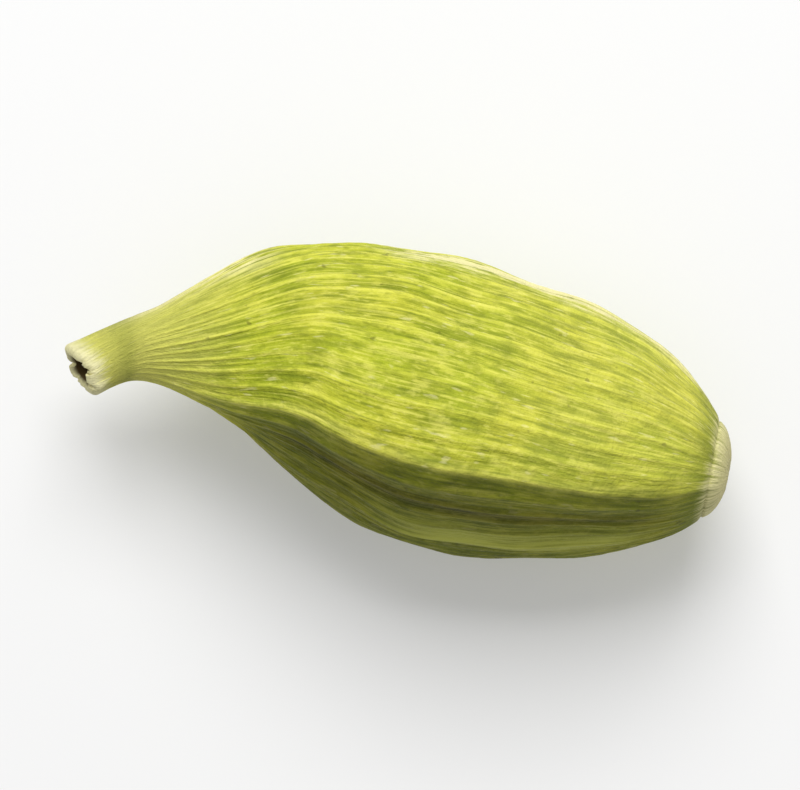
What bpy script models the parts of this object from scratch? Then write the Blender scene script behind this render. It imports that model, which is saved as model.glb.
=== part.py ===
import math

import bpy

mm = 0.001

# The pod is turned upright with its beak on top, then laid along X with the beak at -X.
# Depths are measured from the beak's rim towards the stalk scar.
pod_length = 18.72 * mm
belly_radius = 4.03 * mm
belly_depth = 10.6 * mm
shoulder_length = 9.2 * mm
base_depth = 18.63 * mm
tube_radius = 0.50 * mm
beak_blend = 1.24 * mm
base_blend = 0.60 * mm
blend_change = (9.0 * mm, 14.0 * mm)
neck_pinch = 0.11 * mm
neck_pinch_fade = (0.6 * mm, 1.8 * mm)

# The short hollow tube at the beak's end, and its rolled rim, which is cut at a slant.
hollow_radius = 0.35 * mm
hollow_depth = 1.15 * mm
hollow_rings = ((0.60, 0.97), (0.95, 0.80), (1.00, 0.45))  # shares of the hollow's radius and depth
rim_half_thickness = 0.14 * mm
rim_tilt_up = 0.42
rim_tilt_side = -0.80
rim_wave = 0.05 * mm
rim_fade = (0.2 * mm, 2.0 * mm)

# The stalk scar: a low dome past a shallow groove, with a dimple in its middle.
scar_groove_radius = 1.40 * mm
scar_groove_depth = 18.15 * mm
scar_dome_radius = 1.46 * mm
scar_dome_height = 0.70 * mm
scar_dome_start = 15.0
scar_dome_end = 72.0
scar_dimple_radius = 0.25 * mm
scar_dimple = 0.12 * mm

# Three ridges, by bearing in degrees from straight up towards +Y, with the sag of the face after each.
ridge_bearings = (-19.5, 116.0, 232.0)
face_sags = (0.225, 0.25, 0.27)
ridge_reach = 1.12
ridge_rounding = 0.18
ridge_fade_in = (0.9 * mm, 5.2 * mm)
ridge_fade_out = (16.4 * mm, 18.6 * mm)
ridge_left_at_base = 0.25

# One soft fold on the narrow face, and the furrow above it.
fold_bearing = -72.0
furrow_bearing = -46.0
fold_width = 11.0
fold_height = 0.22 * mm
furrow_height = -0.14 * mm
fold_fade_in = (3.4 * mm, 7.0 * mm)
fold_fade_out = (14.5 * mm, 17.8 * mm)

# Fine ribs that run from beak to base. Their strength changes from rib to rib and drifts along each.
rib_count = 36
steps_per_rib = 3
rib_height = 0.078 * mm
rib_valley = -0.5
rib_mean_strength = 0.78
rib_strength_spread = 0.32
rib_strength_drift = 0.16
rib_drift_length = 2.6 * mm
rib_narrowing = 0.6  # power by which the ribs get lower as the pod gets thinner
rib_fade_in = (0.8 * mm, 3.2 * mm)
rib_fade_out = (16.6 * mm, 18.6 * mm)
rib_sway = 1.6
sway_length = 9.0 * mm

# Low swellings where seeds press from inside: a short wave and a weaker long one.
swell_height = 0.05 * mm
swell_length = 3.4 * mm
long_swell_share = 0.6
long_swell_length = 5.78 * mm
swell_fade_in = (3.0 * mm, 6.0 * mm)
swell_fade_out = (15.5 * mm, 18.0 * mm)

# The pod's bend. From above it hooks sideways near the beak, then runs nearly straight to the base.
bow_side = 1.12 * mm
bow_onset = 1.95 * mm
hook_side = 0.90 * mm
hook_depth = 4.15 * mm
hook_spread = 4.2 * mm
tail_side = -0.13 * mm
tail_fade = (15.5 * mm, 19.5 * mm)
beak_lift = 0.35 * mm
beak_lift_fade = (0.0, 6.0 * mm)

# The ridges and ribs turn a little about the axis as they run into the beak, in degrees.
beak_twist = -40.0
twist_fade = (1.5 * mm, 7.0 * mm)

# The belly is cut off level by this much, which leaves a small flat spot to rest on.
flat_spot_depth = 0.24 * mm

# Rings of the turned net.
first_ring_depth = 0.45 * mm
beak_rings = 18
beak_ring_spacing = 1.15
base_rings = 15
last_base_turn = 68.5
rim_steps = 5
scar_dome_steps = 5


def clear_scene():
    for thing in list(bpy.data.objects):
        bpy.data.objects.remove(thing, do_unlink=True)


def smooth_step(low, high, value):
    share = min(1.0, max(0.0, (value - low) / (high - low)))
    return share * share * (3.0 - 2.0 * share)


def smooth_largest(first, second, blend):
    return 0.5 * (first + second + math.sqrt((first - second) ** 2 + blend**2))


def bell(value, middle, width):
    return math.exp(-(((value - middle) / width) ** 2))


def angle_between(bearing, other):
    return (bearing - other + 180.0) % 360.0 - 180.0


def between(depth, fade_in, fade_out):
    """One over the middle of the pod, falling to nothing before fade_in and after fade_out."""
    return smooth_step(*fade_in, depth) * (1.0 - smooth_step(*fade_out, depth))


def body_radius(depth):
    """Mean radius of the pod's outside at a depth."""
    if depth < belly_depth:
        share = (belly_depth - depth) / shoulder_length
        body = belly_radius * (1.0 - share**2)
    else:
        share = min(1.0, (depth - belly_depth) / (base_depth - belly_depth))
        body = belly_radius * math.sqrt(1.0 - share**2)
    blend = beak_blend + (base_blend - beak_blend) * smooth_step(*blend_change, depth)
    pinch = neck_pinch * (1.0 - smooth_step(*neck_pinch_fade, depth))
    return smooth_largest(body, tube_radius, blend) - pinch


def hollow_points():
    points = [(0.0, hollow_depth)]
    for radius_share, depth_share in hollow_rings:
        points.append((radius_share * hollow_radius, depth_share * hollow_depth))
    return points


def rim_points():
    points = []
    for step in range(rim_steps + 1):
        turn = math.pi * step / rim_steps
        radius = hollow_radius + rim_half_thickness * (1.0 - math.cos(turn))
        points.append((radius, rim_half_thickness * (1.0 - math.sin(turn))))
    return points


def body_points():
    points = []
    for step in range(beak_rings):
        share = (step / beak_rings) ** beak_ring_spacing
        depth = first_ring_depth + (belly_depth - first_ring_depth) * share
        points.append((body_radius(depth), depth))
    for step in range(base_rings):
        turn = math.radians(last_base_turn) * step / (base_rings - 1)
        depth = belly_depth + (base_depth - belly_depth) * math.sin(turn)
        points.append((body_radius(depth), depth))
    return points


def scar_points():
    points = [(scar_groove_radius, scar_groove_depth)]
    for step in range(scar_dome_steps + 1):
        turn = math.radians(scar_dome_start + (scar_dome_end - scar_dome_start) * step / scar_dome_steps)
        depth = pod_length - scar_dome_height * (1.0 - math.sin(turn))
        points.append((scar_dome_radius * math.cos(turn), depth))
    points.append((scar_dimple_radius, pod_length - 0.6 * scar_dimple))
    points.append((0.0, pod_length - scar_dimple))
    return points


def section_share(bearing):
    """Radius of the three-sided section, as a share of the mean radius."""
    for number, ridge in enumerate(ridge_bearings):
        following = ridge_bearings[(number + 1) % len(ridge_bearings)]
        width = (following - ridge) % 360.0
        along = (bearing - ridge) % 360.0
        if along <= width:
            rise = math.sin(math.pi * along / width)
            soft = math.hypot(rise, ridge_rounding) - ridge_rounding
            full = math.hypot(1.0, ridge_rounding) - ridge_rounding
            return ridge_reach - face_sags[number] * soft / full
    return 1.0


def rib_offset(step_number, depth, radius):
    """Height of a fine rib. Each third line of the net is a crest."""
    crest = 1.0 if step_number % steps_per_rib == 0 else rib_valley
    rib_number = step_number // steps_per_rib
    strength = rib_mean_strength + rib_strength_spread * math.sin(2.4 * rib_number + 0.9)
    strength += rib_strength_drift * math.sin(0.7 * rib_number + depth / rib_drift_length)
    thinner = (radius / belly_radius) ** rib_narrowing
    return rib_height * crest * strength * thinner * between(depth, rib_fade_in, rib_fade_out)


def swell_offset(bearing, depth):
    turn = math.radians(bearing)
    short_phase = math.tau * depth / swell_length + 1.4 * math.sin(turn + 0.5)
    long_phase = math.tau * depth / long_swell_length - 2.0 * math.cos(turn)
    wave = math.sin(short_phase) * math.cos(3.0 * turn + 0.4)
    wave += long_swell_share * math.sin(long_phase) * math.cos(2.0 * turn - 1.1)
    return swell_height * wave * between(depth, swell_fade_in, swell_fade_out)


def fold_offset(bearing, depth):
    raised = fold_height * bell(angle_between(bearing, fold_bearing), 0.0, fold_width)
    sunk = furrow_height * bell(angle_between(bearing, furrow_bearing), 0.0, fold_width)
    return (raised + sunk) * between(depth, fold_fade_in, fold_fade_out)


def centre_line(depth):
    """Sideways and upward offset of the pod's middle at a depth."""
    side = bow_side * math.tanh(depth / bow_onset)
    side += hook_side * bell(depth, hook_depth, hook_spread)
    side += tail_side * smooth_step(*tail_fade, depth)
    return side, beak_lift * (1.0 - smooth_step(*beak_lift_fade, depth))


def shaped_radius(radius, bearing, step_number, depth, lobed):
    radius *= 1.0 + lobed * (section_share(bearing) - 1.0)
    radius += rib_offset(step_number, depth, radius)
    radius += swell_offset(bearing, depth)
    return radius + fold_offset(bearing, depth)


def laid_down(point, step_number):
    """Where a point of the turned pod goes once the husk has its ridges, ribs and bend."""
    depth = pod_length - point.z
    radius = math.hypot(point.x, point.y)
    bearing = math.degrees(math.atan2(point.y, point.x))
    lost_at_base = (1.0 - ridge_left_at_base) * smooth_step(*ridge_fade_out, depth)
    lobed = smooth_step(*ridge_fade_in, depth) * (1.0 - lost_at_base)
    bearing += lobed * rib_sway * math.sin(math.tau * depth / sway_length + math.radians(2.0 * bearing))
    if radius > 0.5 * tube_radius:
        radius = shaped_radius(radius, bearing, step_number, depth, lobed)
    turn = math.radians(bearing + beak_twist * (1.0 - smooth_step(*twist_fade, depth)))
    side = radius * math.sin(turn)
    up = radius * math.cos(turn)
    wave = rim_wave * math.sin(3.0 * turn + 0.6) * min(1.0, radius / tube_radius)
    near_rim = 1.0 - smooth_step(*rim_fade, depth)
    along = depth + near_rim * (rim_tilt_up * up + rim_tilt_side * side + wave)
    side_shift, lift = centre_line(depth)
    return along, side + side_shift, up + lift


def turned_mesh():
    """The upright pod before it is shaped, as a plain mesh."""
    points = hollow_points() + rim_points() + body_points() + scar_points()
    corners = [(radius, 0.0, pod_length - depth) for radius, depth in points]
    edges = [(number, number + 1) for number in range(len(points) - 1)]
    outline = bpy.data.meshes.new("pod_outline")
    outline.from_pydata(corners, edges, [])
    turned = bpy.data.objects.new("turned_pod", outline)
    bpy.context.scene.collection.objects.link(turned)
    screw = turned.modifiers.new("turn", "SCREW")
    screw.axis = "Z"
    screw.steps = rib_count * steps_per_rib
    screw.render_steps = rib_count * steps_per_rib
    screw.use_merge_vertices = True
    screw.merge_threshold = 0.000001
    bpy.context.view_layer.update()
    graph = bpy.context.evaluated_depsgraph_get()
    mesh = bpy.data.meshes.new_from_object(turned.evaluated_get(graph))
    bpy.data.objects.remove(turned, do_unlink=True)
    return mesh


def shape_pod(mesh):
    """Moves each vertex to its place, sets the pod on its flat spot and centres it."""
    segments = rib_count * steps_per_rib
    for vertex in mesh.vertices:
        turn = math.atan2(vertex.co.y, vertex.co.x)
        step_number = round(turn / math.tau * segments) % segments
        vertex.co = laid_down(vertex.co, step_number)
    floor = min(vertex.co.z for vertex in mesh.vertices) + flat_spot_depth
    left = min(vertex.co.x for vertex in mesh.vertices)
    right = max(vertex.co.x for vertex in mesh.vertices)
    front = min(vertex.co.y for vertex in mesh.vertices)
    back = max(vertex.co.y for vertex in mesh.vertices)
    for vertex in mesh.vertices:
        vertex.co.x -= 0.5 * (left + right)
        vertex.co.y -= 0.5 * (front + back)
        vertex.co.z = max(0.0, vertex.co.z - floor)


def husk_material():
    material = bpy.data.materials.new("green_husk")
    material.use_nodes = True
    shader = material.node_tree.nodes["Principled BSDF"]
    shader.inputs["Base Color"].default_value = (0.42, 0.50, 0.10, 1.0)
    shader.inputs["Roughness"].default_value = 0.62
    shader.inputs["Metallic"].default_value = 0.0
    return material


def build_pod():
    mesh = turned_mesh()
    shape_pod(mesh)
    mesh.name = "cardamom_pod"
    mesh.materials.clear()
    mesh.materials.append(husk_material())
    for face in mesh.polygons:
        face.use_smooth = True
    pod = bpy.data.objects.new("cardamom_pod", mesh)
    group = bpy.data.collections.new("green_cardamom_pod")
    bpy.context.scene.collection.children.link(group)
    group.objects.link(pod)


clear_scene()
build_pod()
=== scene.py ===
import math

import bpy
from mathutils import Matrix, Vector


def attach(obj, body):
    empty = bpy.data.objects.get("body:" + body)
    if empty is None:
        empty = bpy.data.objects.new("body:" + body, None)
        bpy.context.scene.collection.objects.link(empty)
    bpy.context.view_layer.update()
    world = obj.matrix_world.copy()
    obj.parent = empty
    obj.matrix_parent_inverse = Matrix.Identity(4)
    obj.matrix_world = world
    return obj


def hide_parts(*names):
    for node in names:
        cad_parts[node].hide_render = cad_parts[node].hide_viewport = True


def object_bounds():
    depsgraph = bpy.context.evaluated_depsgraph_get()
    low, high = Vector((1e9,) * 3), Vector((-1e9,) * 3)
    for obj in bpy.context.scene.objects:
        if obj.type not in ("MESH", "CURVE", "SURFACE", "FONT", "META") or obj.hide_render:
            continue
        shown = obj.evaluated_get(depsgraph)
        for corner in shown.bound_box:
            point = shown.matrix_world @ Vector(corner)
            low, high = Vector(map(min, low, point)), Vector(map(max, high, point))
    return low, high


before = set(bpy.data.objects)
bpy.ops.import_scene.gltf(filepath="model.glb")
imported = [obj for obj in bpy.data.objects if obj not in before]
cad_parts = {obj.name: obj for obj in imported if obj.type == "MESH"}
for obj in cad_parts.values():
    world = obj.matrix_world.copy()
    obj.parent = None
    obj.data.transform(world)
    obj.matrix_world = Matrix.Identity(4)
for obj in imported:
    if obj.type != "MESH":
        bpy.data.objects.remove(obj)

cadLow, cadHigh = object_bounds()
mm = 0.001
fullTurn = 360.0
nodeSpacing = (190.0, 170.0)


# A wire is a number running through a node tree. Sums of wires become Math nodes.
class Wire:
    def __init__(self, tree, socket):
        self.tree = tree
        self.socket = socket

    def join(self, operation, *others):
        node = self.tree.nodes.new("ShaderNodeMath")
        node.operation = operation
        for slot, value in zip(node.inputs, (self, *others)):
            plug(self.tree, value, slot)
        return Wire(self.tree, node.outputs[0])

    def __add__(self, other):
        return self.join("ADD", other)

    def __sub__(self, other):
        return self.join("SUBTRACT", other)

    def __mul__(self, other):
        return self.join("MULTIPLY", other)

    def __truediv__(self, other):
        return self.join("DIVIDE", other)

    def __pow__(self, other):
        return self.join("POWER", other)

    def __rsub__(self, other):
        return (self * -1.0) + other

    __radd__ = __add__
    __rmul__ = __mul__

    def sine(self):
        return self.join("SINE")

    def cosine(self):
        return self.join("COSINE")

    def radians(self):
        return self.join("RADIANS")

    def floor(self):
        return self.join("FLOOR")

    def least(self, other):
        return self.join("MINIMUM", other)

    def most(self, other):
        return self.join("MAXIMUM", other)

    # 0 at low and below, 1 at high and above, eased at both ends
    def ease(self, low, high):
        node = self.tree.nodes.new("ShaderNodeMapRange")
        node.interpolation_type = "SMOOTHSTEP"
        for slot, value in zip(node.inputs, (self, low, high, 0.0, 1.0)):
            plug(self.tree, value, slot)
        return Wire(self.tree, node.outputs[0])

    # comes in over the first span and goes out over the second, wholly or by a loss
    def within(self, comesIn, goesOut, loss=1.0):
        return self.ease(*comesIn) * (1.0 - self.ease(*goesOut) * loss)

    # 1 at the middle, falling off to both sides
    def bell(self, middle, width):
        share = (self - middle) / width
        return (share * share * -1.0).join("EXPONENT")

    # how far one bearing is from another, in degrees from -180 to 180
    def turnFrom(self, bearing):
        return (self - bearing).join("WRAP", 0.5 * fullTurn, -0.5 * fullTurn)


def plug(tree, value, slot):
    if isinstance(value, Wire):
        tree.links.new(value.socket, slot)
    elif isinstance(value, bpy.types.NodeSocket):
        tree.links.new(value, slot)
    else:
        slot.default_value = value


def vectorOf(tree, x, y, z):
    node = tree.nodes.new("ShaderNodeCombineXYZ")
    for slot, value in zip(node.inputs, (x, y, z)):
        plug(tree, value, slot)
    return node.outputs[0]


def partsOf(tree, vector):
    node = tree.nodes.new("ShaderNodeSeparateXYZ")
    plug(tree, vector, node.inputs[0])
    return [Wire(tree, socket) for socket in node.outputs]


# Noise from 0 to 1. The seed is the fourth coordinate.
def noiseAt(tree, vector, scale, detail, seed, roughness=0.5):
    node = tree.nodes.new("ShaderNodeTexNoise")
    node.noise_dimensions = "4D"
    plug(tree, vector, node.inputs["Vector"])
    plug(tree, seed, node.inputs["W"])
    plug(tree, scale, node.inputs["Scale"])
    plug(tree, detail, node.inputs["Detail"])
    plug(tree, roughness, node.inputs["Roughness"])
    return Wire(tree, node.outputs[0])


# Puts each node one column to the right of the last one that feeds it.
def spreadNodes(tree):
    columns = {}

    def columnOf(node):
        if node.name not in columns:
            columns[node.name] = 0
            feeding = [link.from_node for slot in node.inputs for link in slot.links]
            if feeding:
                columns[node.name] = 1 + max(columnOf(other) for other in feeding)
        return columns[node.name]

    filled = {}
    for node in tree.nodes:
        column = columnOf(node)
        row = filled.get(column, 0)
        filled[column] = row + 1
        node.location = (column * nodeSpacing[0], row * -nodeSpacing[1])


# The pod's outline from the hollow in its beak to the stalk scar, in millimetres.
# Depths run from the beak's rim to the scar.
podOutline = {
    "length": 18.72,
    "belly radius": 4.03,
    "belly depth": 10.6,
    "shoulder length": 9.2,
    "base depth": 18.63,
    "tube radius": 0.50,
    "beak blend": 1.24,
    "base blend": 0.60,
    "blend change": (9.0, 14.0),
    "neck pinch": 0.11,
    "pinch fade": (0.6, 1.8),
    "hollow radius": 0.35,
    "hollow depth": 1.15,
    "rim half thickness": 0.14,
    "first ring depth": 0.45,
    "last base turn": 68.5,
    "scar groove": (1.40, 18.15),  # radius and depth
    "scar dome radius": 1.46,
    "scar dome height": 0.70,
    "scar dome turns": (15.0, 72.0),
    "scar dimple radius": 0.25,
    "scar dimple": 0.12,
    "dimple edge share": 0.6,
    "hollow rings": 10,
    "rim rings": 12,
    "beak rings": 106,
    "base rings": 76,
    "scar dome rings": 16,
    "short stretch rings": 4,
    # which part of the pod a ring lies on, and the colours change between these numbers
    "zones": {
        "hollow": 0.0,
        "husk": 1.0,
        "groove": 1.1,
        "scar edge": 1.2,
        "scar": 2.0,
        "dimple edge": 2.5,
        "dimple": 3.0,
    },
}


def easedShare(low, high, value):
    share = min(1.0, max(0.0, (value - low) / (high - low)))
    return share * share * (3.0 - 2.0 * share)


def bodyRadius(depth):
    size = podOutline
    if depth < size["belly depth"]:
        share = (size["belly depth"] - depth) / size["shoulder length"]
        body = size["belly radius"] * (1.0 - share**2)
    else:
        share = (depth - size["belly depth"]) / (size["base depth"] - size["belly depth"])
        body = size["belly radius"] * math.sqrt(max(0.0, 1.0 - share**2))
    tube = size["tube radius"]
    change = easedShare(*size["blend change"], depth)
    blend = size["beak blend"] + (size["base blend"] - size["beak blend"]) * change
    pinch = size["neck pinch"] * (1.0 - easedShare(*size["pinch fade"], depth))
    return 0.5 * (body + tube + math.hypot(body - tube, blend)) - pinch


# Points on the straight line from one point to the next, without the first.
def straightRun(first, second, steps):
    shares = [step / steps for step in range(1, steps + 1)]
    return [tuple(a + (b - a) * share for a, b in zip(first, second)) for share in shares]


def hollowAndRim(size, zones):
    points = []
    for step in range(size["hollow rings"]):
        turn = 0.5 * math.pi * step / size["hollow rings"]
        depth = size["hollow depth"] * math.cos(turn) ** 0.5
        points.append((size["hollow radius"] * math.sin(turn), zones["hollow"], depth))
    for step in range(size["rim rings"] + 1):
        share = step / size["rim rings"]
        out = size["rim half thickness"] * (1.0 - math.cos(math.pi * share))
        dip = size["rim half thickness"] * (1.0 - math.sin(math.pi * share))
        points.append((size["hollow radius"] + out, zones["husk"] * share, dip))
    return points


def huskRings(size, zones):
    depths = []
    toBelly = size["belly depth"] - size["first ring depth"]
    for step in range(size["beak rings"]):
        depths.append(size["first ring depth"] + toBelly * step / size["beak rings"])
    toBase = size["base depth"] - size["belly depth"]
    for step in range(size["base rings"]):
        turn = math.radians(size["last base turn"]) * step / (size["base rings"] - 1)
        depths.append(size["belly depth"] + toBase * math.sin(turn))
    return [(bodyRadius(depth), zones["husk"], depth) for depth in depths]


def scarRings(size, zones, lastHuskPoint):
    grooveRadius, grooveDepth = size["scar groove"]
    groove = (grooveRadius, zones["groove"], grooveDepth)
    points = straightRun(lastHuskPoint, groove, size["short stretch rings"])
    firstTurn, lastTurn = size["scar dome turns"]
    for step in range(size["scar dome rings"] + 1):
        share = step / size["scar dome rings"]
        turn = math.radians(firstTurn + (lastTurn - firstTurn) * share)
        zone = zones["scar edge"] + (zones["scar"] - zones["scar edge"]) * share
        depth = size["length"] - size["scar dome height"] * (1.0 - math.sin(turn))
        points.append((size["scar dome radius"] * math.cos(turn), zone, depth))
    edgeDepth = size["length"] - size["dimple edge share"] * size["scar dimple"]
    edge = (size["scar dimple radius"], zones["dimple edge"], edgeDepth)
    middle = (0.0, zones["dimple"], size["length"] - size["scar dimple"])
    points += straightRun(points[-1], edge, size["short stretch rings"])
    return points + straightRun(edge, middle, size["short stretch rings"])


# Each point is its radius, its zone and its depth.
def outlinePoints():
    zones = podOutline["zones"]
    points = hollowAndRim(podOutline, zones) + huskRings(podOutline, zones)
    return points + scarRings(podOutline, zones, points[-1])


# What the relief tree is set with: lengths in millimetres, bearings in degrees from straight up towards +Y.
# A step is how far a sine moves on from one rib to the next, so that no two are alike.
# A seed step is how far a noise lies from the tree's own seed.
podRelief = {
    "Net": {
        "Lines around": 400,
        "Seed": 7.0,
        "Pattern stretch": 0.5,  # of depth, beside the turn's sine and cosine
        "Relief from radius": 0.25,  # keeps the hollow and the dimple smooth
        "Merge distance": 0.00002,
        "CAD low corner": tuple(cadLow),
        "CAD high corner": tuple(cadHigh),
    },
    "Ridges": {
        "First ridge": -19.5,
        "Second ridge": 116.0,
        "Third ridge": 232.0,
        "First face sag": 0.225,
        "Second face sag": 0.25,
        "Third face sag": 0.27,
        "Ridge reach": 1.12,
        "Ridge rounding": 0.18,
        "Seam height": 0.045,
        "Seam width": 2.4,
    },
    "Fold": {
        "Fold bearing": -72.0,
        "Furrow bearing": -46.0,
        "Fold width": 11.0,
        "Fold height": 0.22,
        "Furrow depth": 0.14,
    },
    "Ribs": {
        "Rib count": 36.0,
        "Rib height": 0.078,
        "Rib width": 0.17,
        "Rib valley": 0.39,
        "Rib mean strength": 0.78,
        "Rib strength step": 2.4,
        "Rib strength start": 0.9,
        "Rib strength spread": 0.32,
        "Rib drift step": 0.7,
        "Rib drift length": 2.6,
        "Rib drift spread": 0.16,
        "Rib narrowing": 0.6,
        "Rib sway": 1.6,
        "Sways around": 2.0,
        "Sway length": 9.0,
        "Rib wander": 0.22,
        "Wander scale": 0.55,
        "Wander detail": 1.0,
        "Faint rib bearing": -6.0,
        "Faint rib width": 18.0,
        "Faint rib share": 0.4,
    },
    "Veins and fibres": {
        "Vein height": 0.035,
        "Vein width": 0.09,
        "Vein mean strength": 0.55,
        "Vein strength step": 3.1,
        "Vein strength start": 1.7,
        "Vein strength spread": 0.35,
        "Vein drift step": 1.3,
        "Vein drift length": 1.9,
        "Vein drift mean": 0.7,
        "Vein drift spread": 0.3,
        "Vein paleness": 0.6,
        "Fibre height": 0.030,
        "Fibres across": 15.0,
        "Fibres along": 1.1,
        "Fibre detail": 2.0,
        "Fibre roughness": 0.55,
        "Fibre seed step": 5.0,
    },
    "Swellings": {
        "Swell height": 0.05,
        "Swell length": 3.4,
        "Swell lean": 1.4,
        "Swell lean start": 0.5,
        "Swells around": 3.0,
        "Swell start": 0.4,
        "Long swell length": 5.78,
        "Long swell lean": 2.0,
        "Long swells around": 2.0,
        "Long swell start": -1.1,
        "Long swell share": 0.6,
    },
    "Dents and wrinkles": {
        "Dent depth": 0.07,
        "Dent scale": 1.1,
        "Dent detail": 1.0,
        "Dent seed step": 11.0,
        "Wrinkle height": 0.040,
        "Wrinkles across": 7.0,
        "Wrinkles along": 6.5,
        "Wrinkle detail": 3.0,
        "Wrinkle roughness": 0.62,
        "Wrinkle seed step": 17.0,
    },
    "Bend": {
        "Bow": 1.12,
        "Bow onset": 1.95,
        "Hook": 0.90,
        "Hook depth": 4.15,
        "Hook spread": 4.2,
        "Tail": -0.13,
        "Beak lift": 0.35,
        "Beak twist": -40.0,
    },
    "Rim": {
        "Tube radius": 0.50,
        "Belly radius": 4.03,
        "Rim tilt up": 0.42,
        "Rim tilt side": -0.80,
        "Rim wave": 0.05,
        "Rim waves": 3.0,
        "Rim wave start": 0.6,
        "Rim notches": 0.16,
        "Notch scale": 2.6,
        "Notch detail": 2.0,
        "Notch seed step": 3.0,
    },
}

# The depths over which each form comes in and goes out. A third number is the share that goes.
# Single spans are where the beak's own forms run out, and where the tail and the wrinkles come in.
podSpans = {
    "ridges": ((0.9, 5.2), (16.4, 18.6), 0.75),
    "seams": ((2.0, 6.0), (16.0, 18.4)),
    "ribs": ((0.8, 3.2), (16.6, 18.6)),
    "swellings": ((3.0, 6.0), (15.5, 18.0)),
    "fold": ((3.4, 7.0), (14.5, 17.8)),
    "dents": ((2.5, 6.0), (16.0, 18.4)),
    "wrinkles": (0.3, 1.5),
    "twist": (1.5, 7.0),
    "lift": (0.0, 6.0),
    "tail": (15.5, 19.5),
    "rim tilt": (0.2, 2.0),
    "rim notches": (0.1, 0.7),
    "notch noise": (0.50, 0.66),  # not a depth: how high the noise is where a notch begins and is full
    "notch zone": (0.0, 0.3),  # nor this: from the hollow's zone up to the rim
}


def addInputs(tree, panels):
    kinds = {int: "NodeSocketInt", float: "NodeSocketFloat", tuple: "NodeSocketVector"}
    tree.interface.new_socket("Outline", in_out="INPUT", socket_type="NodeSocketGeometry")
    for title, values in panels.items():
        panel = tree.interface.new_panel(title)
        for name, value in values.items():
            tree.interface.new_socket(name, in_out="INPUT", socket_type=kinds[type(value)], parent=panel)
    tree.interface.new_socket("Pod", in_out="OUTPUT", socket_type="NodeSocketGeometry")


def setInputs(modifier, panels):
    values = {name: value for panel in panels.values() for name, value in panel.items()}
    for item in modifier.node_group.interface.items_tree:
        if item.item_type == "SOCKET" and item.in_out == "INPUT" and item.name in values:
            modifier[item.identifier] = values[item.name]


# Adds a node to the line of geometry nodes and returns its geometry output.
def geometryStep(tree, kind, geometry, **values):
    node = tree.nodes.new(kind)
    tree.links.new(geometry, node.inputs[0])
    for name, value in values.items():
        plug(tree, value, node.inputs[name])
    return node.outputs[0]


def storeField(tree, geometry, name, kind, field, domain="POINT"):
    node = tree.nodes.new("GeometryNodeStoreNamedAttribute")
    node.data_type = kind
    node.domain = domain
    tree.links.new(geometry, node.inputs["Geometry"])
    node.inputs["Name"].default_value = name
    plug(tree, field, node.inputs["Value"])
    return node.outputs[0]


# How far the flat side after a ridge sinks in, from 0 at its two ridges to the sag at its middle.
def faceSink(bearing, ridge, following, sag, rounding):
    width = (following - ridge).join("FLOORED_MODULO", fullTurn)
    along = ((bearing - ridge).join("FLOORED_MODULO", fullTurn) / width).least(1.0)
    rise = (along * math.pi).sine()
    soft = (rise * rise + rounding * rounding).join("SQRT") - rounding
    full = (rounding * rounding + 1.0).join("SQRT") - rounding
    return sag * soft / full


# Each rib is a narrow crest in a shallow valley. Also gives the line that the colours follow.
def ribRelief(size, bearing, depth, radius, straight):
    tree = depth.tree
    wander = noiseAt(tree, straight, size["Wander scale"], size["Wander detail"], size["Seed"]) - 0.5
    place = bearing * size["Rib count"] / fullTurn + wander * size["Rib wander"]
    number = (place + 0.5).floor()
    aside = place - number
    crest = aside.bell(0.0, size["Rib width"])
    number = number.join("FLOORED_MODULO", size["Rib count"])

    # no two ribs are equally strong, and those on top are fainter
    own = (number * size["Rib strength step"] + size["Rib strength start"]).sine()
    drift = (number * size["Rib drift step"] + depth / size["Rib drift length"]).sine()
    strength = own * size["Rib strength spread"] + size["Rib mean strength"]
    strength = strength + drift * size["Rib drift spread"]
    faint = bearing.turnFrom(size["Faint rib bearing"]).bell(0.0, size["Faint rib width"])
    strength = strength * (1.0 - size["Faint rib share"] * faint)

    # thin veins half way between the ribs
    between = place.floor()
    veinCrest = (aside.join("ABSOLUTE")).bell(0.5, size["Vein width"])
    veinOwn = (between * size["Vein strength step"] + size["Vein strength start"]).sine()
    veinDrift = (between * size["Vein drift step"] + depth / size["Vein drift length"]).sine()
    veinStrength = veinOwn * size["Vein strength spread"] + size["Vein mean strength"]
    veinStrength = veinStrength * (veinDrift * size["Vein drift spread"] + size["Vein drift mean"])

    # crests, veins and fibres, lower where the pod is thin
    height = size["Rib height"] * (crest * (strength + size["Rib valley"]) - size["Rib valley"])
    height = height + size["Vein height"] * veinCrest * veinStrength
    x, y, z = partsOf(tree, straight)
    across = size["Fibres across"]
    grain = vectorOf(tree, x * across, y * across, z * size["Fibres along"])
    seed = size["Seed"] + size["Fibre seed step"]
    fibres = noiseAt(tree, grain, 1.0, size["Fibre detail"], seed, size["Fibre roughness"]) - 0.5
    height = height + size["Fibre height"] * fibres
    thinner = (radius.most(0.0) / size["Belly radius"]) ** size["Rib narrowing"]
    running = depth.within(*podSpans["ribs"])
    line = (crest * strength + veinCrest * veinStrength * size["Vein paleness"]) * running
    return height * thinner * running, line


# Seeds press from inside in a short wave and a weaker long one.
def swellRelief(size, bearing, depth):
    turn = bearing.radians()
    lean = (turn + size["Swell lean start"]).sine() * size["Swell lean"]
    short = depth * math.tau / size["Swell length"] + lean
    long = depth * math.tau / size["Long swell length"] - turn.cosine() * size["Long swell lean"]
    shortAround = (turn * size["Swells around"] + size["Swell start"]).cosine()
    longAround = (turn * size["Long swells around"] + size["Long swell start"]).cosine()
    wave = short.sine() * shortAround + long.sine() * longAround * size["Long swell share"]
    return size["Swell height"] * wave * depth.within(*podSpans["swellings"])


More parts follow.
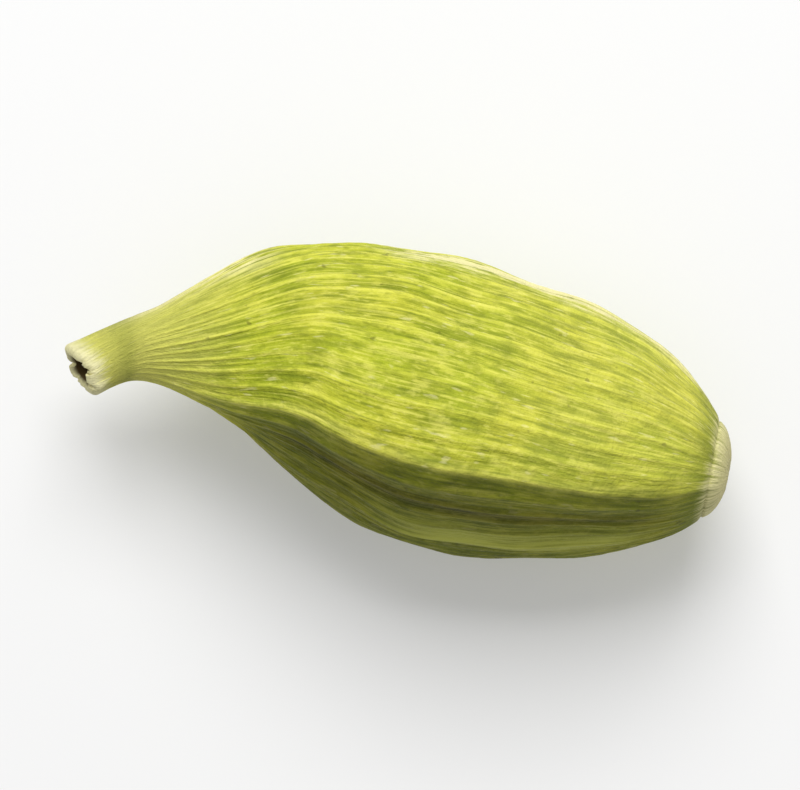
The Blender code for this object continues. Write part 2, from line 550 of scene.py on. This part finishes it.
def foldRelief(size, bearing, depth):
    raised = bearing.turnFrom(size["Fold bearing"]).bell(0.0, size["Fold width"]) * size["Fold height"]
    sunk = bearing.turnFrom(size["Furrow bearing"]).bell(0.0, size["Fold width"]) * size["Furrow depth"]
    return (raised - sunk) * depth.within(*podSpans["fold"])


# A flat net with one row of points for each point of the outline.
def flatNet(tree, outline, size):
    count = tree.nodes.new("GeometryNodeAttributeDomainSize")
    tree.links.new(outline, count.inputs[0])
    rings = Wire(tree, count.outputs["Point Count"])
    net = tree.nodes.new("GeometryNodeMeshGrid")
    plug(tree, rings, net.inputs["Vertices X"])
    plug(tree, size["Lines around"] + 1.0, net.inputs["Vertices Y"])
    flat = tree.nodes.new("GeometryNodeInputPosition")
    across, around, _ = partsOf(tree, flat.outputs[0])
    ring = ((across + 0.5) * (rings - 1.0)).join("ROUND")
    place = tree.nodes.new("GeometryNodeInputPosition")
    sample = tree.nodes.new("GeometryNodeSampleIndex")
    sample.data_type = "FLOAT_VECTOR"
    tree.links.new(outline, sample.inputs["Geometry"])
    plug(tree, place.outputs[0], sample.inputs["Value"])
    plug(tree, ring, sample.inputs["Index"])
    radius, zone, depth = partsOf(tree, sample.outputs["Value"])
    return net, radius, zone, depth, around * fullTurn


# Lays the turned pod along X, with its bend and its tilted, notched rim.
def laidDown(size, shaped, turned, depth, zone):
    tree = depth.tree
    turn = turned.radians()
    side = shaped * turn.sine()
    up = shaped * turn.cosine()
    thin = (shaped / size["Tube radius"]).least(1.0)
    wave = size["Rim wave"] * (turn * size["Rim waves"] + size["Rim wave start"]).sine() * thin
    nearRim = 1.0 - depth.ease(*podSpans["rim tilt"])
    tilt = size["Rim tilt up"] * up + size["Rim tilt side"] * side + wave
    along = depth + nearRim * tilt
    ringOfNoise = vectorOf(tree, turn.cosine(), turn.sine(), 0.0)
    seed = size["Seed"] + size["Notch seed step"]
    notch = noiseAt(tree, ringOfNoise, size["Notch scale"], size["Notch detail"], seed)
    notch = notch.ease(*podSpans["notch noise"]) * size["Rim notches"]
    notch = notch * (1.0 - depth.ease(*podSpans["rim notches"]))
    along = along + notch * zone.least(1.0).ease(*podSpans["notch zone"])
    bow = size["Bow"] * (depth / size["Bow onset"]).join("TANH")
    sideways = bow + size["Hook"] * depth.bell(size["Hook depth"], size["Hook spread"])
    sideways = sideways + size["Tail"] * depth.ease(*podSpans["tail"])
    lift = size["Beak lift"] * (1.0 - depth.ease(*podSpans["lift"]))
    return vectorOf(tree, along * mm, (side + sideways) * mm, (up + lift) * mm)


# Moves the surface out and in by soft dents and fine wrinkles.
def wrinkled(tree, mesh, size):
    named = {}
    for name, kind in (("straightPod", "FLOAT_VECTOR"), ("huskDepth", "FLOAT")):
        node = tree.nodes.new("GeometryNodeInputNamedAttribute")
        node.data_type = kind
        node.inputs["Name"].default_value = name
        named[name] = node.outputs["Attribute"]
    depth = Wire(tree, named["huskDepth"])
    x, y, z = partsOf(tree, named["straightPod"])
    seed = size["Seed"] + size["Dent seed step"]
    dent = noiseAt(tree, named["straightPod"], size["Dent scale"], size["Dent detail"], seed) - 0.5
    across = size["Wrinkles across"]
    grain = vectorOf(tree, x * across, y * across, z * size["Wrinkles along"])
    seed = size["Seed"] + size["Wrinkle seed step"]
    wrinkle = noiseAt(tree, grain, 1.0, size["Wrinkle detail"], seed, size["Wrinkle roughness"]) - 0.5
    proud = dent * size["Dent depth"] * depth.within(*podSpans["dents"])
    proud = proud + wrinkle * size["Wrinkle height"] * depth.ease(*podSpans["wrinkles"])
    outward = tree.nodes.new("GeometryNodeInputNormal")
    push = tree.nodes.new("ShaderNodeVectorMath")
    push.operation = "SCALE"
    tree.links.new(outward.outputs[0], push.inputs[0])
    plug(tree, proud * mm, push.inputs["Scale"])
    return geometryStep(tree, "GeometryNodeSetPosition", mesh, Offset=push.outputs[0])


# Fits the pod to the CAD pod's box and makes it level where it rests on the floor.
def fitted(tree, mesh, size):
    spread = tree.nodes.new("GeometryNodeAttributeStatistic")
    spread.data_type = "FLOAT_VECTOR"
    tree.links.new(mesh, spread.inputs[0])
    final = tree.nodes.new("GeometryNodeInputPosition")
    plug(tree, final.outputs[0], spread.inputs["Attribute"])
    here = partsOf(tree, final.outputs[0])
    low = partsOf(tree, spread.outputs["Min"])
    high = partsOf(tree, spread.outputs["Max"])
    wantedLow = partsOf(tree, size["CAD low corner"])
    wantedHigh = partsOf(tree, size["CAD high corner"])
    place = []
    for axis in range(2):
        growth = (wantedHigh[axis] - wantedLow[axis]) / (high[axis] - low[axis])
        place.append((here[axis] - low[axis]) * growth + wantedLow[axis])
    place.append((here[2] + wantedHigh[2] - high[2]).most(0.0))
    return geometryStep(tree, "GeometryNodeSetPosition", mesh, Position=vectorOf(tree, *place))


def podTree(husk):
    tree = bpy.data.node_groups.new("Pod from its outline", "GeometryNodeTree")
    addInputs(tree, podRelief)
    given = tree.nodes.new("NodeGroupInput")
    size = {socket.name: Wire(tree, socket) for socket in given.outputs if socket.name}
    net, radius, zone, depth, bearing = flatNet(tree, given.outputs["Outline"], size)
    turn = bearing.radians()
    straight = vectorOf(tree, turn.cosine(), turn.sine(), depth * size["Pattern stretch"])

    # the three-sided section, and how the ribs sway
    lobed = depth.within(*podSpans["ridges"])
    sway = (depth * math.tau / size["Sway length"] + turn * size["Sways around"]).sine()
    swayed = bearing + lobed * size["Rib sway"] * sway
    ridges = [size["First ridge"], size["Second ridge"], size["Third ridge"]]
    sags = [size["First face sag"], size["Second face sag"], size["Third face sag"]]
    share = size["Ridge reach"]
    for ridge, following, sag in zip(ridges, ridges[1:] + ridges[:1], sags):
        share = share - faceSink(swayed, ridge, following, sag, size["Ridge rounding"])
    onHusk = radius.join("GREATER_THAN", size["Relief from radius"])
    shaped = radius * (1.0 + lobed * (share - 1.0) * onHusk)

    # fine seams on the ridges, ribs, swellings and the fold
    seam = ridges[0] * 0.0
    for ridge in ridges:
        seam = seam + swayed.turnFrom(ridge).bell(0.0, size["Seam width"])
    seam = seam * depth.within(*podSpans["seams"])
    ribs, line = ribRelief(size, bearing, depth, shaped, straight)
    relief = ribs + swellRelief(size, swayed, depth) + foldRelief(size, swayed, depth)
    shaped = shaped + (relief + seam * size["Seam height"]) * onHusk
    turned = swayed + size["Beak twist"] * (1.0 - depth.ease(*podSpans["twist"]))

    # what the husk's colours follow
    mesh = storeField(tree, net.outputs["Mesh"], "huskMap", "FLOAT2", net.outputs["UV Map"], "CORNER")
    mesh = storeField(tree, mesh, "straightPod", "FLOAT_VECTOR", straight)
    followed = {
        "huskDepth": depth,
        "huskBearing": swayed,
        "huskTurn": turned,
        "ribLine": line,
        "ridgeSeam": seam,
        "huskZone": zone,
    }
    for name, field in followed.items():
        mesh = storeField(tree, mesh, name, "FLOAT", field)

    laid = laidDown(size, shaped, turned, depth, zone)
    mesh = geometryStep(tree, "GeometryNodeSetPosition", mesh, Position=laid)
    mesh = geometryStep(tree, "GeometryNodeMergeByDistance", mesh, Distance=size["Merge distance"] * mm)
    mesh = fitted(tree, wrinkled(tree, mesh, size), size)
    mesh = geometryStep(tree, "GeometryNodeSetShadeSmooth", mesh)
    mesh = geometryStep(tree, "GeometryNodeRealizeInstances", mesh)
    mesh = geometryStep(tree, "GeometryNodeSetMaterial", mesh, Material=husk)
    out = tree.nodes.new("NodeGroupOutput")
    tree.links.new(mesh, out.inputs[0])
    spreadNodes(tree)
    return tree


def makePod(husk):
    outline = bpy.data.meshes.new("pod outline")
    points = outlinePoints()
    outline.from_pydata(points, [(n, n + 1) for n in range(len(points) - 1)], [])
    turned = bpy.data.objects.new("turnedPod", outline)
    bpy.context.scene.collection.objects.link(turned)
    modifier = turned.modifiers.new("Pod from its outline", "NODES")
    modifier.node_group = podTree(husk)
    setInputs(modifier, podRelief)
    bpy.context.view_layer.update()
    graph = bpy.context.evaluated_depsgraph_get()
    shown = turned.evaluated_get(graph)
    mesh = bpy.data.meshes.new_from_object(shown, preserve_all_data_layers=True, depsgraph=graph)
    mesh.name = "podHusk"
    turned.modifiers.clear()
    bpy.data.objects.remove(turned, do_unlink=True)
    pod = bpy.data.objects.new("podHusk", mesh)
    bpy.context.scene.collection.objects.link(pod)
    triangles = sum(len(face.vertices) - 2 for face in mesh.polygons)
    print("pod:", len(points), "rings,", len(mesh.vertices), "points,", triangles, "triangles")
    return pod


# Bearings and widths are in degrees, depths in millimetres, shares from 0 to 1.
huskLook = {
    # linear red, green and blue
    "tones": {
        "lime": (0.385, 0.445, 0.018),
        "yellow green": (0.56, 0.555, 0.040),
        "olive": (0.145, 0.185, 0.008),
        "rib crest": (0.69, 0.68, 0.085),
        "pale fibre": (0.75, 0.72, 0.145),
        # painted shade for the narrow face, a painted shadow for its furrow and a painted highlight for its
        # fold
        "shaded side": (0.40, 0.41, 0.36),
        "furrow": (0.45, 0.40, 0.30),
        "fold": (0.47, 0.49, 0.095),
        "straw": (0.73, 0.70, 0.17),
        "cream": (0.80, 0.74, 0.38),
        "lip": (0.86, 0.81, 0.47),
        # near black, for the painted shade in the beak's hollow and the scar's dimple
        "hollow brown": (0.10, 0.065, 0.018),
        "scar tan": (0.68, 0.62, 0.29),
        "speck": (0.10, 0.10, 0.01),
    },
    # a grain is how fine a pattern is across the husk and along it, a scale is for one in space
    "patterns": {
        "cloud": {"scale": 420.0, "detail": 3.0, "seed": 2.0},
        "patches": {"scale": 620.0, "detail": 2.0, "seed": 9.0},
        "fibre": {"grain": (44.0, 44.0, 0.8), "detail": 2.0, "seed": 5.0, "roughness": 0.60},
        "broken": {"grain": (30.0, 30.0, 4.5), "detail": 2.0, "seed": 7.0, "roughness": 0.60},
        "cells": {"grain": (11.0, 11.0, 1.3), "detail": 4.0, "seed": 13.0, "roughness": 0.68},
        "blotches": {"grain": (8.0, 8.0, 2.6), "detail": 3.0, "seed": 23.0, "roughness": 0.60},
        "flecks": {"grain": (26.0, 26.0, 3.5), "detail": 1.0, "seed": 19.0},
        "specks": {"scale": 2300.0, "detail": 1.0, "seed": 21.0},
        "waver": {"grain": (3.0, 3.0, 1.6), "detail": 2.0, "seed": 27.0},
        "fine fibres": {"grain": (38.0, 38.0, 2.4), "detail": 3.0, "seed": 31.0, "roughness": 0.60},
        "pores": {"grain": (22.0, 22.0, 17.0), "detail": 3.0, "seed": 33.0, "roughness": 0.60},
    },
    # laid over each other in this order: pattern, tone, where it starts and is full, and its share
    "layers": (
        ("fibre", "olive", (0.50, 0.34), 0.55),
        ("fibre", "pale fibre", (0.52, 0.68), 0.55),
        ("broken", "olive", (0.47, 0.34), 0.35),
        ("broken", "pale fibre", (0.55, 0.68), 0.45),
        ("cells", "olive", (0.50, 0.34), 0.50),
        ("cells", "rib crest", (0.52, 0.66), 0.50),
        ("blotches", "olive", (0.48, 0.34), 0.32),
        ("blotches", "pale fibre", (0.54, 0.68), 0.38),
        ("flecks", "cream", (0.64, 0.73), 0.35),
        ("specks", "speck", (0.70, 0.76), 0.60),
    ),
    "cloud edges": (0.36, 0.66),
    "patch edges": (0.35, 0.65),
    # the valleys' olive and the crests' pale tone, partly painted shade and a painted highlight on the ribs
    "valley narrowing": 1.7,
    "valley shares": (0.16, 0.50),
    "crest share": 0.62,
    "most crest": 0.7,
    "seam share": 0.28,
    "most seam": 0.6,
    # where the painted shade of the narrow face, the painted shadow in its furrow and the painted highlight
    # on its fold lie
    "shade waver": 14.0,
    "shade moved near the beak": (6.0, 11.0, 4.0),  # from and to a depth, and by how many degrees
    "shade moved near the base": (10.0, 12.5, 3.0),
    "shade upper edge": (5.5, -8.0),
    "shade lower bearing": -128.0,
    "shade lower edge": (-8.0, 4.0),
    "shade span": ((2.5, 6.5), (11.0, 16.0), 0.16),
    "furrow bearing": -43.0,
    "furrow width": 6.5,
    "furrow span": ((4.5, 7.5), (15.5, 17.8)),
    "furrow share": 0.80,
    "fold bearing": -70.0,
    "fold width": 12.0,
    "fold span": ((8.0, 11.5), (15.5, 17.8)),
    "fold fibres": (0.34, 0.60),
    "fold shares": (0.45, 0.45),
    "base straw": (9.0, 16.0, 0.16),  # from and to a depth, and its share
    "beak straw": (1.4, 5.0, 0.60),
    # the cream edge streaks, partly bleached husk and partly a painted highlight on the upper edges
    "edge fraying": 26.0,
    "edge bearing": 96.0,
    "edge width": 7.0,
    "edge span": ((7.2, 9.4), (12.8, 16.0), 0.4),
    "edge strength": 1.4,
    "neck edge bearing": 84.0,
    "neck edge width": 20.0,
    "neck edge span": ((0.8, 1.6), (3.6, 5.4)),
    "edge fibre share": 0.55,
    "edge cell share": 0.45,
    "edge streaks": (0.41, 0.55),
    "edge broken streaks": (0.45, 0.65, 0.2),
    "most edge": 0.9,
    # painted shade behind the lip and in the groove before the scar
    "neck olive": (1.15, 0.35, 0.35),  # its depth, width and share
    "base olive": (17.3, 17.9, 0.3),
    "ragged cells": 0.8,
    "ragged fibres": 0.5,
    "base cream": (17.9, 18.3),
    "base cream fibres": (0.35, 0.60),
    "base cream shares": (0.4, 0.5),
    "lip cream": (0.1, 0.60),
    "lip fibres": (0.3, 0.6),
    "lip shares": (0.68, 0.3),
    "scar zones": (1.3, 1.8),
    "scar fibres": (0.3, 0.6),
    "scar shares": (0.4, 0.5),
    # where the dimple and the hollow get painted shade
    "dimple zones": (1.95, 2.8),
    "dimple share": 0.75,
    "hollow zones": (0.0, 0.35),
    "roughness": 0.56,
    "fibre roughness": 0.2,
    "crest smoothness": 0.08,
    "most crest smoothness": 0.1,
    "sheen of the skin": 0.16,
    "bump depth": 0.00011,
    "bump fibre share": 0.5,
}


def attributeOf(tree, name):
    node = tree.nodes.new("ShaderNodeAttribute")
    node.attribute_name = name
    return node


# Mixes in a colour, or multiplies by it.
def mixed(tree, first, second, share, how="MIX"):
    node = tree.nodes.new("ShaderNodeMix")
    node.data_type = "RGBA"
    node.blend_type = how
    plug(tree, share, node.inputs[0])
    for slot, colour in ((node.inputs[6], first), (node.inputs[7], second)):
        plug(tree, (*colour, 1.0) if isinstance(colour, tuple) else colour, slot)
    return node.outputs[2]


def scaled(tree, vector, grain):
    node = tree.nodes.new("ShaderNodeVectorMath")
    node.operation = "MULTIPLY"
    plug(tree, vector, node.inputs[0])
    node.inputs[1].default_value = grain
    return node.outputs[0]


# Every pattern by its name, with noise from 0 to 1.
def makePatterns(tree):
    straight = attributeOf(tree, "straightPod").outputs["Vector"]
    place = tree.nodes.new("ShaderNodeTexCoord").outputs["Object"]
    patterns = {}
    for name, values in huskLook["patterns"].items():
        vector, scale = place, values.get("scale", 1.0)
        if "grain" in values:
            vector = scaled(tree, straight, values["grain"])
        roughness = values.get("roughness", 0.5)
        patterns[name] = noiseAt(tree, vector, scale, values["detail"], values["seed"], roughness)
    return patterns


# The first share everywhere, and up to the second one more where the pattern is high.
def streaked(pattern, edges, shares):
    least, more = shares
    return pattern.ease(*edges) * more + least


def huskMaterial():
    look = huskLook
    tone = look["tones"]
    material = bpy.data.materials.new("green husk")
    material.use_nodes = True
    tree = material.node_tree
    shader = tree.nodes["Principled BSDF"]
    names = ("huskDepth", "huskBearing", "huskTurn", "ribLine", "ridgeSeam", "huskZone")
    wires = [Wire(tree, attributeOf(tree, name).outputs["Fac"]) for name in names]
    depth, bearing, turn, rib, seam, zone = wires
    patterns = makePatterns(tree)
    fibre, broken, cells = patterns["fibre"], patterns["broken"], patterns["cells"]

    # green and yellow in soft clouds; olive in the valleys, partly the husk's own darker grooves and partly
    # painted shade, and paler crests, partly their own colour and partly a painted highlight
    colour = mixed(tree, tone["lime"], tone["yellow green"], patterns["cloud"].ease(*look["cloud edges"]))
    valley = (1.0 - rib * look["valley narrowing"]).most(0.0)
    valley = valley * streaked(patterns["patches"], look["patch edges"], look["valley shares"])
    colour = mixed(tree, colour, tone["olive"], valley)
    crest = (rib * look["crest share"]).least(look["most crest"]).most(0.0)
    colour = mixed(tree, colour, tone["rib crest"], crest)
    colour = mixed(tree, colour, tone["straw"], (seam * look["seam share"]).least(look["most seam"]))

    # long thin fibres along the pod, shorter broken ones, small blotches, and a few dark specks
    for name, toneName, edges, share in look["layers"]:
        colour = mixed(tree, colour, tone[toneName], patterns[name].ease(*edges) * share)

    # painted shade: the narrow face below the first ridge is darkened as if turned away from the light, and
    # a painted shadow lies in the furrow above its fold
    pastRidge = bearing.turnFrom(podRelief["Ridges"]["First ridge"])
    low, high, nearBeak = look["shade moved near the beak"]
    pastRidge = pastRidge + (1.0 - depth.ease(low, high)) * nearBeak
    pastRidge = pastRidge + (patterns["waver"] - 0.5) * look["shade waver"]
    low, high, nearBase = look["shade moved near the base"]
    pastRidge = pastRidge - depth.ease(low, high) * nearBase
    aboveThird = bearing.turnFrom(look["shade lower bearing"]).ease(*look["shade lower edge"])
    side = pastRidge.ease(*look["shade upper edge"]) * aboveThird * depth.within(*look["shade span"])
    # multiplies in the painted shade of the narrow face
    colour = mixed(tree, colour, tone["shaded side"], side, "MULTIPLY")
    # painted shadow along the furrow's crease
    furrow = bearing.turnFrom(look["furrow bearing"]).bell(0.0, look["furrow width"])
    furrow = furrow * depth.within(*look["furrow span"]) * look["furrow share"]
    colour = mixed(tree, colour, tone["furrow"], furrow, "MULTIPLY")
    # painted highlight: a pale band on the fold, as if its crest caught the light
    fold = bearing.turnFrom(look["fold bearing"]).bell(0.0, look["fold width"])
    fold = fold * depth.within(*look["fold span"])
    fold = fold * streaked(fibre, look["fold fibres"], look["fold shares"])
    colour = mixed(tree, colour, tone["fold"], fold)

    # paler towards both ends
    low, high, share = look["base straw"]
    # the base's straw is kept off the painted shade
    colour = mixed(tree, colour, tone["straw"], depth.ease(low, high) * (1.0 - side) * share)
    low, high, share = look["beak straw"]
    colour = mixed(tree, colour, tone["straw"], (1.0 - depth.ease(low, high)) * share)

    # frayed cream streaks along the far upper edge, and along the neck's upper edge: partly the husk's own
    # bleached streaks, partly a painted highlight on the edges turned to the light
    frayed = turn.turnFrom(look["edge bearing"]) + (cells - 0.5) * look["edge fraying"]
    edge = frayed.bell(0.0, look["edge width"]) * depth.within(*look["edge span"]) * look["edge strength"]
    neck = turn.turnFrom(look["neck edge bearing"]).bell(0.0, look["neck edge width"])
    edge = edge + neck * depth.within(*look["neck edge span"])
    streaks = fibre * look["edge fibre share"] + cells * look["edge cell share"]
    low, high, share = look["edge broken streaks"]
    streaks = streaks.ease(*look["edge streaks"]) + broken.ease(low, high) * share
    colour = mixed(tree, colour, tone["cream"], (edge * streaks).least(look["most edge"]))

    # the beak's pale lip, its hollow in painted shade, and the stalk scar with its dimple
    # painted shade: olive behind the beak's lip and in the groove before the stalk scar
    middle, width, neckShare = look["neck olive"]
    low, high, baseShare = look["base olive"]
    olive = depth.bell(middle, width) * neckShare + depth.ease(low, high) * baseShare
    colour = mixed(tree, colour, tone["olive"], olive)
    ragged = depth + (cells - 0.5) * look["ragged cells"] + (fibre - 0.5) * look["ragged fibres"]
    baseStreaks = streaked(fibre, look["base cream fibres"], look["base cream shares"])
    colour = mixed(tree, colour, tone["cream"], ragged.ease(*look["base cream"]) * baseStreaks)
    lip = (1.0 - ragged.ease(*look["lip cream"])) * streaked(fibre, look["lip fibres"], look["lip shares"])
    colour = mixed(tree, colour, tone["lip"], lip)
    scar = zone.ease(*look["scar zones"]) * streaked(broken, look["scar fibres"], look["scar shares"])
    colour = mixed(tree, colour, tone["scar tan"], scar)
    # painted shade: the stalk scar's dimple and the beak's hollow are darkened where they sink in
    dimple = zone.ease(*look["dimple zones"]) * look["dimple share"]
    colour = mixed(tree, colour, tone["hollow brown"], dimple)
    hollow = 1.0 - zone.ease(*look["hollow zones"])
    colour = mixed(tree, colour, tone["hollow brown"], hollow)
    tree.links.new(colour, shader.inputs["Base Color"])

    # dull fibres, smoother crests, and a fine grain
    smoother = (rib * look["crest smoothness"]).least(look["most crest smoothness"])
    rough = fibre * look["fibre roughness"] + look["roughness"] - smoother
    plug(tree, rough, shader.inputs["Roughness"])
    shader.inputs["Specular IOR Level"].default_value = look["sheen of the skin"]
    fibreShare = look["bump fibre share"]
    bump = tree.nodes.new("ShaderNodeBump")
    bump.inputs["Distance"].default_value = look["bump depth"]
    height = patterns["fine fibres"] * fibreShare + patterns["pores"] * (1.0 - fibreShare)
    plug(tree, height, bump.inputs["Height"])
    tree.links.new(bump.outputs[0], shader.inputs["Normal"])
    spreadNodes(tree)
    print("green husk:", len(patterns), "patterns,", len(look["layers"]), "layers of colour over the first")
    return material


# Lengths in metres.
paperFloor = {
    "half width": 0.6,
    "white": 0.64,
    "roughness": 0.9,
    "glow": 0.22,  # keeps the pod's shadow pale
}


def makeFloor():
    half = paperFloor["half width"]
    white = paperFloor["white"]
    mesh = bpy.data.meshes.new("paper floor")
    corners = [(-half, -half, 0.0), (half, -half, 0.0), (half, half, 0.0), (-half, half, 0.0)]
    mesh.from_pydata(corners, [], [(0, 1, 2, 3)])
    floor = bpy.data.objects.new("paperFloor", mesh)
    bpy.context.scene.collection.objects.link(floor)
    material = bpy.data.materials.new("white paper")
    material.use_nodes = True
    shader = material.node_tree.nodes["Principled BSDF"]
    shader.inputs["Base Color"].default_value = (white, white, white, 1.0)
    shader.inputs["Roughness"].default_value = paperFloor["roughness"]
    shader.inputs["Emission Color"].default_value = (1.0, 1.0, 1.0, 1.0)
    shader.inputs["Emission Strength"].default_value = paperFloor["glow"]
    mesh.materials.append(material)
    print("floor:", 2.0 * half, "m of white paper")
    return floor


# Lengths in metres, the lens in millimetres, the roll in degrees and the power in watts.
studio = {
    "camera height": 0.30,
    "lens": 470.0,
    "roll": 11.0,
    "clip start": 0.01,
    "key place": (-0.03, 0.17, 0.23),
    "key target": (0.0, 0.0, 0.003),
    "key size": 0.18,
    "key power": 0.83,
    "sky": 0.42,
}


def aim(thing, place, target):
    thing.location = place
    thing.rotation_euler = (Vector(target) - Vector(place)).to_track_quat("-Z", "Y").to_euler()


def makeStudio():
    scene = bpy.context.scene
    scene.view_settings.view_transform = "Standard"
    world = bpy.data.worlds.new("soft white room")
    scene.world = world
    world.use_nodes = True
    world.node_tree.nodes["Background"].inputs["Color"].default_value = (1.0, 1.0, 1.0, 1.0)
    world.node_tree.nodes["Background"].inputs["Strength"].default_value = studio["sky"]
    light = bpy.data.lights.new("window key", "AREA")
    light.size = studio["key size"]
    light.energy = studio["key power"]
    key = bpy.data.objects.new("windowKey", light)
    scene.collection.objects.link(key)
    aim(key, studio["key place"], studio["key target"])
    lens = bpy.data.cameras.new("from above")
    lens.lens = studio["lens"]
    lens.clip_start = studio["clip start"]
    camera = bpy.data.objects.new("fromAbove", lens)
    scene.collection.objects.link(camera)
    camera.location = (0.0, 0.0, studio["camera height"])
    camera.rotation_euler = (0.0, 0.0, math.radians(studio["roll"]))
    scene.camera = camera
    print("studio: one window key, a soft sky, and a camera", studio["camera height"], "m above the pod")


pod = makePod(huskMaterial())
makeFloor()
makeStudio()
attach(pod, "root")
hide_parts("cardamom_pod")
